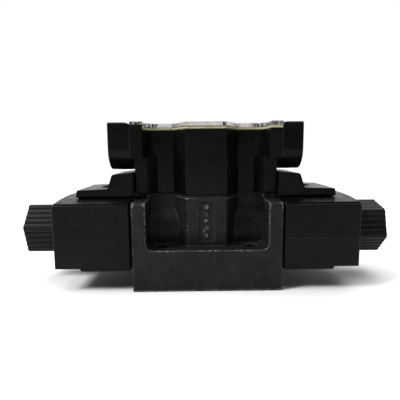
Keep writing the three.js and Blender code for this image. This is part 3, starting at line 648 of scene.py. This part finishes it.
def sand_cast(obj):
    """Gives the casting soft edges and the skin of a sand mould, and leaves machined faces flat."""
    skin_step = obj.modifiers.new("skin", "REMESH")
    skin_step.mode = "VOXEL"
    skin_step.voxel_size = 0.45
    ease = obj.modifiers.new("ease", "SMOOTH")
    ease.factor = 0.5
    ease.iterations = 3
    bake(obj)
    for vertex, normal in zip(obj.data.vertices, [v.normal.copy() for v in obj.data.vertices]):
        at = vertex.co
        machined = at.z < 2.3 or abs(at.x) > BODY_END - 0.4 or at.z > body_high.z - 0.4
        if machined:
            continue
        swell = noise.fractal(at / 6, 1.0, 2.0, 3)
        grit = noise.fractal(at / 1.6, 0.9, 2.1, 3)
        nick = max(0, noise.noise(at / 2.6 + Vector((7, 3, 1))) - 0.42)
        vertex.co = at + normal * (0.12 * swell + 0.09 * grit - 0.9 * nick - 0.12)
    thin = obj.modifiers.new("thin", "DECIMATE")
    thin.ratio = 0.3
    bake(obj)
    for vertex in obj.data.vertices:
        for axis in range(3):
            vertex.co[axis] = min(max(vertex.co[axis], body_low[axis]), body_high[axis])
    return obj


def valve_casting():
    casting = cast_block()
    panel, pips = casting_mark()
    cut(casting, panel)
    joined(casting, *pips)
    bolts = [rod("bolt_hole", BOLT_RADIUS, -1, POCKET_FLOOR + 1, "Z", at) for at in corners(*BOLT)]
    box_fixings = [rod("fixing", BOX_SCREW_HOLE, 45.6, 60, "Z", at, 24) for at in both_sides(BOX_SCREW_X)]
    cut(casting, *oil_ways(), *bolts, *box_fixings)
    sand_cast(casting)
    return finish_piece(casting, "body", CAST_IRON, ["valve_body"], 70)


# ---- solenoids -----------------------------------------------------------------
# Each piece is drawn for the right-hand end and turned half round for the left.


def at_side(obj, side):
    if side == "left":
        obj.data.transform(Matrix.Rotation(math.pi, 4, "Z"))
    return obj


def coil_section():
    """The moulding seen from its end: flat drafted sides, an arched top and belly."""
    side, draft, rail, step = HALF_WIDTH, 0.45, 1.5, 0.7
    low, high = AXIS - COIL_SHOULDER, AXIS + COIL_SHOULDER
    flank = side - draft

    def bow(y, height, rise):
        """The height of an arch that ends at +-flank."""
        return height + rise * (1 - (y / flank) ** 2)

    inner = flank - rail
    count = 40
    belly = [Vector((y, bow(y, low, -2.1))) for y in stations(-flank + 1.2, flank - 1.2, count)]
    crown = [Vector((y, bow(y, high + step, 3 - step))) for y in stations(inner - 0.5, 0.5 - inner, count)]
    corner = 1.1
    outline = arc((-flank + corner, low + corner), corner, 180, 268, 6) + belly[1:-1]
    outline += arc((flank - corner, low + corner), corner, 272, 360, 6)
    outline += [Vector((side - 0.35, SEAM))]
    outline += arc((flank - 0.5, high - 0.5), 0.5, 0, 90, 4) + [Vector((inner, high))]
    outline += crown
    outline += [Vector((-inner, high))] + arc((-flank + 0.5, high - 0.5), 0.5, 90, 180, 4)
    return outline + [Vector((0.35 - side, SEAM))]


def parting_line(start, end, sign, height=SEAM):
    """The fine ridge where the two halves of the mould met, on the side with that sign."""
    crest = HALF_WIDTH
    section = [Vector((sign * y, height + z)) for y, z in ((crest - 1, -0.3), (crest, 0), (crest - 1, 0.3))]
    return prism("ridge", section, "X", start, end)


def stations(start, end, count):
    return [start + (end - start) * k / count for k in range(count + 1)]


def flux_frame_space(gap):
    """The steel frame round the winding, larger all over by the gap."""
    start, end = FRAME_X
    outer_y, height = FRAME_HALF_WIDTH + gap, FRAME_HALF_HEIGHT + gap
    inner_y = FRAME_HALF_WIDTH - FRAME_SIDE_PLATE - gap
    outer = block("frame", (start - gap, end + gap), (-outer_y, outer_y), (AXIS - height, AXIS + height))
    inner_x = (start + FRAME_END_PLATE + gap, end - FRAME_END_PLATE - gap)
    inner = block("hollow", inner_x, (-inner_y, inner_y), (AXIS - height - 1, AXIS + height + 1))
    return cut(outer, inner)


def coil_housing(side):
    start, end = coil_low.x, coil_high.x
    shell = prism("coil_moulding_" + side, coil_section(), "X", start, end, 1.3, 0.7, 4)
    pad_end, pad_side = PAD
    pad_outline = eased([
        (start + 0.3, -pad_side, 1),
        (pad_end, -pad_side, 1),
        (pad_end, pad_side, 1),
        (start + 0.3, pad_side, 1),
    ])
    pad = prism("pad", pad_outline, "Z", AXIS + 18, coil_high.z, 0, 0.4)
    full = (start + 1.4, end - 0.7)
    if side == "left":
        joined(shell, pad, parting_line(64.5, 76, 1, AXIS), parting_line(*full, -1))
    else:
        joined(shell, pad, parting_line(*full, 1), parting_line(*full, -1))
    toe_start, toe_top = COIL_STEP
    toe = eased([(toe_start, 0), (end + 1, 0), (end + 1, toe_top), (toe_start, toe_top, 1.2)])
    under = prism("under", toe, "Y", -HALF_WIDTH - 1, HALF_WIDTH + 1)
    pocket, pocket_end = SEAL_POCKET
    core = turned("core", [
        (0, start - 1),
        (pocket, start - 1),
        (pocket, pocket_end),
        (COIL_BORE, pocket_end),
        (COIL_BORE, end + 1),
        (0, end + 1),
    ])
    winding_space = rod("winding_space", 17.1, 51, 83.2)
    cut(shell, under, core, winding_space, flux_frame_space(GAP))
    at_side(shell, side)
    return finish_piece(shell, "body", BLACK_PLASTIC, ["coil_housing_" + side], 28)


def coil_plug(side):
    """The connector that lies on the coil and turns up against the box."""
    inner, skirt, end = BOX_END + GAP, plug_low.z, plug_high.x
    profile = eased([
        (inner, skirt),
        (end, skirt, 0.9),
        (78.2, 58.3, 1.1),
        (59.6, 58.9, 1.2),
        (59.1, 60.6, 1.0),
        (56.8, 67.5, 1.6),
        (inner, 68.7, 0.9),
    ])
    shell = prism("coil_plug_cap_" + side, profile, "Y", plug_low.y, plug_high.y, 0.8)
    pad_side = PAD[1] + GAP
    pad_z = (skirt - 1, coil_high.z + GAP)
    cut(shell, block("pad_space", (inner - 1, end + 1), (-pad_side, pad_side), pad_z))
    wedge = eased([(58.9, 58.4), (67, 58.4), (67, 59), (58.9, 60.8, 0.4)])
    latch = prism("latch", wedge, "Y", -4.5, 4.5, 0.3)
    nose = block("nose", (plug_low.x, inner + 2), (-8, 8), (60.5, 66.3), 0.4)
    joined(shell, latch, nose)
    at_side(shell, side)
    return finish_piece(shell, "body", BLACK_PLASTIC, ["coil_plug_" + side], 30)


def ribbed_hexagon(corner, ribs, groove):
    """A hexagon whose flats are rows of round-backed ribs."""
    outline = []
    for flat in range(6):
        start = Vector((corner, 0))
        start.rotate(Matrix.Rotation(math.radians(60 * flat), 2))
        end = Matrix.Rotation(math.radians(60), 2) @ start
        outward = (start + end).normalized()
        for rib in range(ribs):
            for k in range(8):
                share = 0.06 + 0.88 * k / 7
                height = -0.5 * (2 * share - 1) ** 2
                outline.append(start.lerp(end, (rib + share) / ribs) + outward * height)
            if rib < ribs - 1:
                outline.append(start.lerp(end, (rib + 1) / ribs) - outward * groove)
    return outline


def coil_nut(side, turn):
    start, end = nut_low.x, nut_high.x
    outline = ribbed_hexagon(NUT_CORNER, 5, 0.8)
    grip = [Matrix.Rotation(math.radians(turn), 2) @ p + Vector((0, AXIS)) for p in outline]
    nut = prism("coil_nut_cap_" + side, grip, "X", start, end, 0.15)
    rim = [
        (0, start),
        (NUT_CORNER - 0.6, start),
        (NUT_CORNER, start + 0.6),
        (NUT_CORNER, end - 0.7),
        (NUT_CORNER - 0.7, end),
        (0, end),
    ]
    combine("INTERSECT", nut, turned("rim", rim, facets=96))
    stud_end = tube_high.x + 0.3
    bore = turned("bore", [
        (0, start - 1), (14.4, start - 1), (14.4, start + 1.4), (11.3, start + 1.4), (11.3, 92.3),
        (9.8, 92.3), (9.8, stud_end), (5.5, stud_end), (5.5, end - 0.8), (7.3, end + 1), (0, end + 1),
    ])
    cut(nut, bore)
    dish = turned("dish", [(0, end - 0.5), (9.5, end - 0.5), (10, end + 1), (0, end + 1)])
    ring_land = rod("land", 7.6, end - 2, end + 2)
    cut(nut, cut(dish, ring_land))
    at_side(nut, side)
    return finish_piece(nut, "body", NUT_PLASTIC, ["coil_nut_" + side], 30)


# ---- terminal box --------------------------------------------------------------


def conduit_boss():
    height, _, radius = CONDUIT
    end = box_high.x
    top = box_high.z
    face = [Vector((radius, top - 0.8)), Vector((radius - 0.8, top)), Vector((0.8 - radius, top))]
    face += [Vector((-radius, top - 0.8))] + arc((0, height), radius, 180, 360, 40)
    boss = prism("boss", face, "X", BOX_END - 1, end, 0, 0.8)
    over = block("over", (0, BOX_END + 1.6), (-20, 20), (BOX_TOP, top + 1))
    ramp = [Vector(p) for p in ((BOX_END, top - 1.9), (49.4, top), (49.4, top + 1), (BOX_END, top + 1))]
    return cut(boss, over, prism("ramp", ramp, "Y", -20, 20))


def both_ends(build):
    """A piece made at the right-hand end, and its mirror image."""
    right, left = build(), build()
    left.data.transform(Matrix.Scale(-1, 4, (1, 0, 0)))
    left.data.flip_normals()
    return [right, left]


def terminal_box():
    bottom = box_low.z
    height, radius, _ = CONDUIT
    shell = prism("terminal_box_shell", lower_plan(), "Z", bottom, LUG_BOTTOM + 1, 0.5, 0)
    upper = prism("upper", box_plan(), "Z", LUG_BOTTOM, BOX_TOP, 0.5, 0.3)
    skirt = block("skirt", (-BOX_END, -LUG_INNER), (LUG_FRONT, LUG_FRONT + 1.4), (BOX_TOP - 2, 96.3), 0.3)
    joined(shell, upper, skirt, *both_ends(conduit_boss))
    hollow = prism("hollow", lower_plan(2.4), "Z", 58, BOX_TOP + 5)
    entries = both_ends(lambda: rod("entry", radius, LUG_INNER, box_high.x + 1, "X", (0, height), 64))
    mouth = (box_high.x - 0.7, box_high.x + 1)
    mouths = both_ends(lambda: rod("mouth", radius + 0.7, *mouth, "X", (0, height), 64))
    slots = both_ends(lambda: block("slot", (LUG_INNER, BOX_END + 1), (-8.3, 8.3), (60.2, 66.6)))
    threads = [rod("thread", 1.8, 83, BOX_TOP + 1, "Z", at, 24) for at in corners(*SCREW_AT)]
    fixings = [rod("fixing", BOX_SCREW_HOLE, bottom - 1, 59, "Z", at, 24) for at in both_sides(BOX_SCREW_X)]
    cut(shell, hollow, *entries, *mouths, *slots, *threads, *fixings)
    posts = [rod("post", 1.8, 57, 71.7, "Z", (sx * 7, -14), 24) for sx in (-1, 1)]
    joined(shell, *posts)
    return finish_piece(shell, "body", BLACK_PLASTIC, ["terminal_box"], 30)


def skirt_notch():
    """Room for the box's skirt at the front left corner."""
    front = LUG_FRONT
    return block("notch", (-BOX_END - 1, 1 - LUG_INNER), (front - 1, front + 1.7), (90, 100))


def screw_clearances():
    seat, hole, recess = 96.7, 1.9, 3.1
    profile = [(0, 90), (hole, 90), (hole, seat), (recess, seat), (recess, 100), (0, 100)]
    return [turned("clearance", profile, "Z", at, 32) for at in corners(*SCREW_AT)]


def cover_gasket():
    sheet = prism("cover_seal_strip", inset(box_plan(), 0.2), "Z", gasket_low.z, gasket_high.z, 0.3)
    middle = prism("middle", lower_plan(2.6), "Z", 90, 100)
    cut(sheet, middle, skirt_notch(), *screw_clearances())
    return finish_piece(sheet, "body", GASKET_RUBBER, ["cover_gasket"], 40)


def clear_cover():
    sheet = prism("cover_window", box_plan(), "Z", cover_low.z, cover_high.z, 0.35, 0.6)
    cut(sheet, skirt_notch(), *screw_clearances())
    return finish_piece(sheet, "body", CLEAR_PLASTIC, ["clear_cover"], 30)


def box_gasket():
    low, high = span("box_gasket")
    sheet = prism("box_seal_strip", lower_plan(0.8), "Z", low.z, high.z, 0.25)
    cut(sheet, prism("middle", lower_plan(3.4), "Z", 50, 60))
    return finish_piece(sheet, "body", SEAL_RUBBER, ["box_gasket"], 40)


# ---- screws and turned pieces --------------------------------------------------


def dome(radius, low, high, steps=6):
    """The profile of a shallow round top, from its rim to the axis."""
    turns = [math.pi / 2 * k / steps for k in range(steps + 1)]
    return [(radius * math.cos(t), low + (high - low) * math.sin(t)) for t in turns[:-1]] + [(0, high)]


def screw_with_head(name, node, tip, seat, head_radius, shank_radius, recess, cross):
    """A pan-head screw in the place of its CAD node, with a slot or a cross."""
    low, high = span(node)
    centre = ((low.x + high.x) / 2, (low.y + high.y) / 2)
    rim = high.z - 0.8
    profile = [(0, tip), (shank_radius - 0.4, tip), (shank_radius, tip + 0.5), (shank_radius, seat)]
    profile += [(head_radius - 0.2, seat), (head_radius, seat + 0.25)] + dome(head_radius, rim, high.z)
    screw = turned(name, profile, "Z", centre, 32)
    x, y = centre
    depth = (high.z - 0.9, high.z + 1)
    recesses = [block("slot", (x - recess, x + recess), (y - 0.45, y + 0.45), depth)]
    if cross:
        recesses.append(block("slot", (x - 0.45, x + 0.45), (y - recess, y + recess), depth))
    return cut(screw, *recesses)


def all_screws():
    for corner in ("front_left", "front_right", "back_left", "back_right"):
        node = "cover_screw_" + corner
        screw = screw_with_head("lid_screw_" + corner, node, 84, 97, 2.9, 1.5, 1.6, True)
        finish_piece(screw, "body", PLATED_STEEL, [node], 40)
    for side in SIDES:
        node = "box_screw_" + side
        screw = screw_with_head("fixing_screw_" + side, node, 46.2, 58.3, 3.7, 2, 2.8, False)
        finish_piece(screw, "body", PLATED_STEEL, [node], 40)
    for i in range(1, 7):
        node = f"terminal_screw_{i}"
        screw = screw_with_head(f"clamp_screw_{i}", node, 61, 66.3, 2.5, 1.3, 2, False)
        finish_piece(screw, "body", BRASS, [node], 40)


def spool_stack():
    lands = [(0, 31), (8.8, 31), (9.6, 30.2), (9.6, 27.5), (5.5, 26.5), (5.5, 16.5), (9.6, 15.5)]
    for x in (14, 12.5, 11):
        lands += [(9.6, x), (9.3, x - 0.2), (9.3, x - 0.5), (9.6, x - 0.7)]
    lands += [(9.6, 5.5), (5.5, 4.5)]
    spool = turned("control_spool", lands + [(r, -x) for r, x in lands[::-1]])
    finish_piece(spool, "spool_stack", GROUND_STEEL, ["spool"])
    for side in SIDES:
        rod_profile = [(0, 31.3), (2.5, 31.3), (2.9, 31.7), (2.9, 55.3), (2.5, 55.7), (0, 55.7)]
        pin = turned("push_rod_" + side, rod_profile)
        finish_piece(at_side(pin, side), "spool_stack", GROUND_STEEL, ["push_pin_" + side])
        washer = cut(rod("washer_" + side, 9.2, 31.3, 32.8), rod("eye", 3.4, 30, 34))
        bevelled(washer, 0.25)
        at_side(washer, side)
        finish_piece(washer, "spool_stack", PLATED_STEEL, ["spring_seat_" + side])


def tube_pieces(side):
    """The core tube, the armature in it and the override pin at its end."""
    start, end = tube_low.x, tube_high.x
    threads = []
    for x in stations(93, end - 2.2, 12):
        threads += [(9.5, x), (9.0, x + 0.5)]
    outside = [(0, start), (13, start), (13, 43.7), (16, 43.7), (16, 45.7), (11, 45.7), (11, 91), (9.5, 92)]
    tube = turned("armature_tube_" + side, outside + threads + [(9.5, end - 1), (8.5, end), (0, end)])
    chamber = turned("chamber", [
        (0, start - 1), (10.2, start - 1), (10.2, 45), (3.4, 45), (3.4, 52), (9.4, 52), (9.4, 91.3),
        (2.8, 91.3), (2.8, 99.65), (4.4, 99.65), (4.4, 101.55), (2.8, 101.55), (2.8, end + 1), (0, end + 1),
    ])
    cut(tube, chamber)
    finish_piece(at_side(tube, side), "body", PLATED_STEEL, ["core_tube_" + side])
    plunger = turned("plunger_" + side, [(0, 56), (8, 56), (9, 57), (9, 83), (8, 84), (0, 84)])
    at_side(plunger, side)
    finish_piece(plunger, side + "_armature", GROUND_STEEL, ["armature_" + side])
    button = turned("hand_pin_" + side, [(0, 91), (2.5, 91), (2.5, 109.9)] + dome(2.5, 109.9, 110.6))
    at_side(button, side)
    finish_piece(button, side + "_override", GROUND_STEEL, ["override_pin_" + side])


def winding_pieces(side):
    """The bobbin, its winding and the steel frame round them."""
    flanges = [(16.8, 52.3), (16.8, 53.9), (12.8, 53.9), (12.8, 80.3), (16.8, 80.3), (16.8, 81.9)]
    bobbin = turned("bobbin_" + side, [(0, 52.3)] + flanges + [(0, 81.9)])
    cut(bobbin, rod("eye", 11.7, 50, 84))
    finish_piece(at_side(bobbin, side), "body", BOBBIN_NYLON, ["coil_bobbin_" + side])
    layers = []
    for x in stations(54.6, 79.6, 31):
        layers += [(16.1, x - 0.4), (16.4, x), (16.1, x + 0.4)]
    wire = turned("wire_" + side, [(0, 54.2)] + layers + [(0, 80)])
    cut(wire, rod("eye", 13.1, 50, 84))
    finish_piece(at_side(wire, side), "body", COPPER, ["coil_winding_" + side])
    yoke = cut(flux_frame_space(0), rod("eye", COIL_BORE, 48, 86))
    yoke.name = "yoke_" + side
    bevelled(yoke, 0.5)
    finish_piece(at_side(yoke, side), "body", PLATED_STEEL, ["flux_frame_" + side])


# Kind, radius and section of the rings on the spool axis
ROUND_SEALS = (("tube", 14.25, 0.8), ("override", 3.6, 0.55), ("coil", 13.4, 0.8), ("nut", 12.9, 0.65))


def round_seals():
    for side in SIDES:
        for kind, radius, section in ROUND_SEALS:
            node = f"{kind}_seal_{side}"
            low, high = span(node)
            seal = torus(f"{kind}_o_ring_{side}", radius, section, "X", (0, AXIS), (low.x + high.x) / 2)
            finish_piece(seal, "body", SEAL_RUBBER, [node], 60)
    for port, limits in zip(("p", "a", "b", "t_left", "t_right"), PORTS):
        centre_height = (limits[0].z + limits[1].z) / 2
        seal = torus("port_o_ring_" + port, 6.9, 0.85, "Z", port_centre(limits), centre_height)
        finish_piece(seal, "body", SEAL_RUBBER, ["port_seal_" + port], 60)


# ---- inside the box ------------------------------------------------------------


def terminal_strip():
    low, high = span("terminal_block")
    strip = block("terminal_strip", (low.x, high.x), (low.y, high.y), (low.z, high.z), 0.6)
    cuts = []
    for x in stations(-18.5, 18.5, 5):
        cuts.append(rod("well", 3, high.z - 4, high.z + 1, "Z", (x, 0), 32))
        cuts.append(rod("thread", 1.8, low.z + 2, high.z, "Z", (x, 0), 24))
        cuts.append(block("wire_entry", (x - 2.2, x + 2.2), (low.y - 1, -2.5), (60.5, 64.5)))
    for x in stations(-14.8, 14.8, 4):
        cuts.append(block("saw_cut", (x - 0.3, x + 0.3), (low.y - 1, high.y + 1), (high.z - 1.2, high.z + 1)))
    cut(strip, *cuts)
    return finish_piece(strip, "body", BLOCK_PLASTIC, ["terminal_block"])


def board_and_lamps():
    low, high = span("circuit_board")
    board = block("lamp_board", (low.x, high.x), (low.y, high.y), (low.z, high.z), 0.3)
    finish_piece(board, "body", BOARD_GREEN, ["circuit_board"])
    for side, finish, slot in (("left", LAMP_GREEN, "lamp_green"), ("right", LAMP_RED, "lamp_red")):
        low, high = span("lamp_" + side)
        centre = ((low.x + high.x) / 2, (low.y + high.y) / 2)
        profile = [(0, low.z), (2.9, low.z), (2.9, low.z + 1), (2.5, low.z + 1), (2.5, high.z - 2.5)]
        lens = turned("signal_lamp_" + side, profile + dome(2.5, high.z - 2.5, high.z), "Z", centre, 32)
        finish_piece(lens, "body", finish, ["lamp_" + side])


def springs():
    """The centring springs stay as packed, in drawn steel wire."""
    for side in SIDES:
        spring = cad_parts["centring_spring_" + side]
        spring.data.materials.clear()
        spring.data.materials.append(SPRING_STEEL)


# ---- studio --------------------------------------------------------------------


def soft_light(name, place, target, size, power):
    data = bpy.data.lights.new(name, "AREA")
    data.shape = "RECTANGLE"
    data.size, data.size_y = size
    data.energy = power
    lamp = bpy.data.objects.new(name, data)
    lamp.location = place
    lamp.rotation_euler = (Vector(target) - Vector(place)).to_track_quat("-Z", "Y").to_euler()
    bpy.context.scene.collection.objects.link(lamp)


def surround(world):
    """White behind the object and through its clear parts; a room that darkens towards the camera."""
    world.use_nodes = True
    tree = world.node_tree

    def largest(first, second):
        node = tree.nodes.new("ShaderNodeMath")
        node.operation = "MAXIMUM"
        tree.links.new(first, node.inputs[0])
        tree.links.new(second, node.inputs[1])
        return node.outputs["Value"]

    direction = tree.nodes.new("ShaderNodeSeparateXYZ")
    tree.links.new(tree.nodes.new("ShaderNodeTexCoord").outputs["Generated"], direction.inputs["Vector"])
    room = tree.nodes.new("ShaderNodeMapRange")
    for name, value in (("From Min", -0.1), ("From Max", 0.6), ("To Min", 0.03), ("To Max", 1.0)):
        room.inputs[name].default_value = value
    tree.links.new(direction.outputs["Y"], room.inputs["Value"])
    ray = tree.nodes.new("ShaderNodeLightPath").outputs
    seen = largest(ray["Is Camera Ray"], ray["Is Transmission Ray"])
    sky = tree.nodes["Background"]
    sky.inputs["Color"].default_value = (1, 1, 1, 1)
    tree.links.new(largest(seen, room.outputs["Result"]), sky.inputs["Strength"])


def overhead_sun(strength, spread, tilt):
    data = bpy.data.lights.new("overhead", "SUN")
    data.energy = strength
    data.angle = math.radians(spread)
    sun = bpy.data.objects.new("overhead", data)
    sun.rotation_euler = (math.radians(tilt), 0, 0)
    bpy.context.scene.collection.objects.link(sun)


def studio():
    scene = bpy.context.scene
    scene.view_settings.view_transform = "Standard"
    world = scene.world or bpy.data.worlds.new("world")
    scene.world = world
    surround(world)
    half = 3.0  # half the floor's width in metres
    mesh = bpy.data.meshes.new("floor")
    floor_corners = [(-half, -half, 0), (half, -half, 0), (half, half, 0), (-half, half, 0)]
    mesh.from_pydata(floor_corners, [], [(0, 1, 2, 3)])
    floor = bpy.data.objects.new("floor", mesh)
    scene.collection.objects.link(floor)
    paper = Finish("paper")
    paper.set(Base_Color=paper.colours(paper.grain(40), (0.86, 0.86, 0.86), (0.9, 0.9, 0.9)), Roughness=0.9)
    mesh.materials.append(paper.material)
    middle = (0, 0, 0.05)
    overhead_sun(3.2, 80, -12)
    soft_light("key", (-0.62, -0.3, 0.6), middle, (0.25, 0.25), 7)
    soft_light("fill", (0.7, -0.3, 0.35), middle, (0.3, 0.4), 0.15)


def camera():
    data = bpy.data.cameras.new("camera")
    data.sensor_width = 36
    data.lens = 33.85
    stand = Vector((-6.47, -245.25, 82.35))
    yaw, pitch, roll = (math.radians(a) for a in (-0.65, 7.71, -0.45))
    across = Vector((math.cos(yaw), math.sin(yaw), 0))
    ahead = Vector((-math.sin(yaw), math.cos(yaw), 0))
    view = ahead * math.cos(pitch) - Vector((0, 0, math.sin(pitch)))
    up = ahead * math.sin(pitch) + Vector((0, 0, math.cos(pitch)))
    right_hand = across * math.cos(roll) + up * math.sin(roll)
    overhead = up * math.cos(roll) - across * math.sin(roll)
    shot = bpy.data.objects.new("camera", data)
    turn = Matrix((right_hand, overhead, -view)).transposed().to_4x4()
    shot.matrix_world = Matrix.Translation(stand * MM) @ turn
    bpy.context.scene.collection.objects.link(shot)
    bpy.context.scene.camera = shot


# ---- assembly ------------------------------------------------------------------

valve_casting()
spool_stack()
for side, turn in (("left", 11.5), ("right", 15)):
    coil_housing(side)
    coil_plug(side)
    coil_nut(side, turn)
    tube_pieces(side)
    winding_pieces(side)
round_seals()
terminal_box()
box_gasket()
cover_gasket()
clear_cover()
all_screws()
terminal_strip()
board_and_lamps()
springs()
studio()
camera()
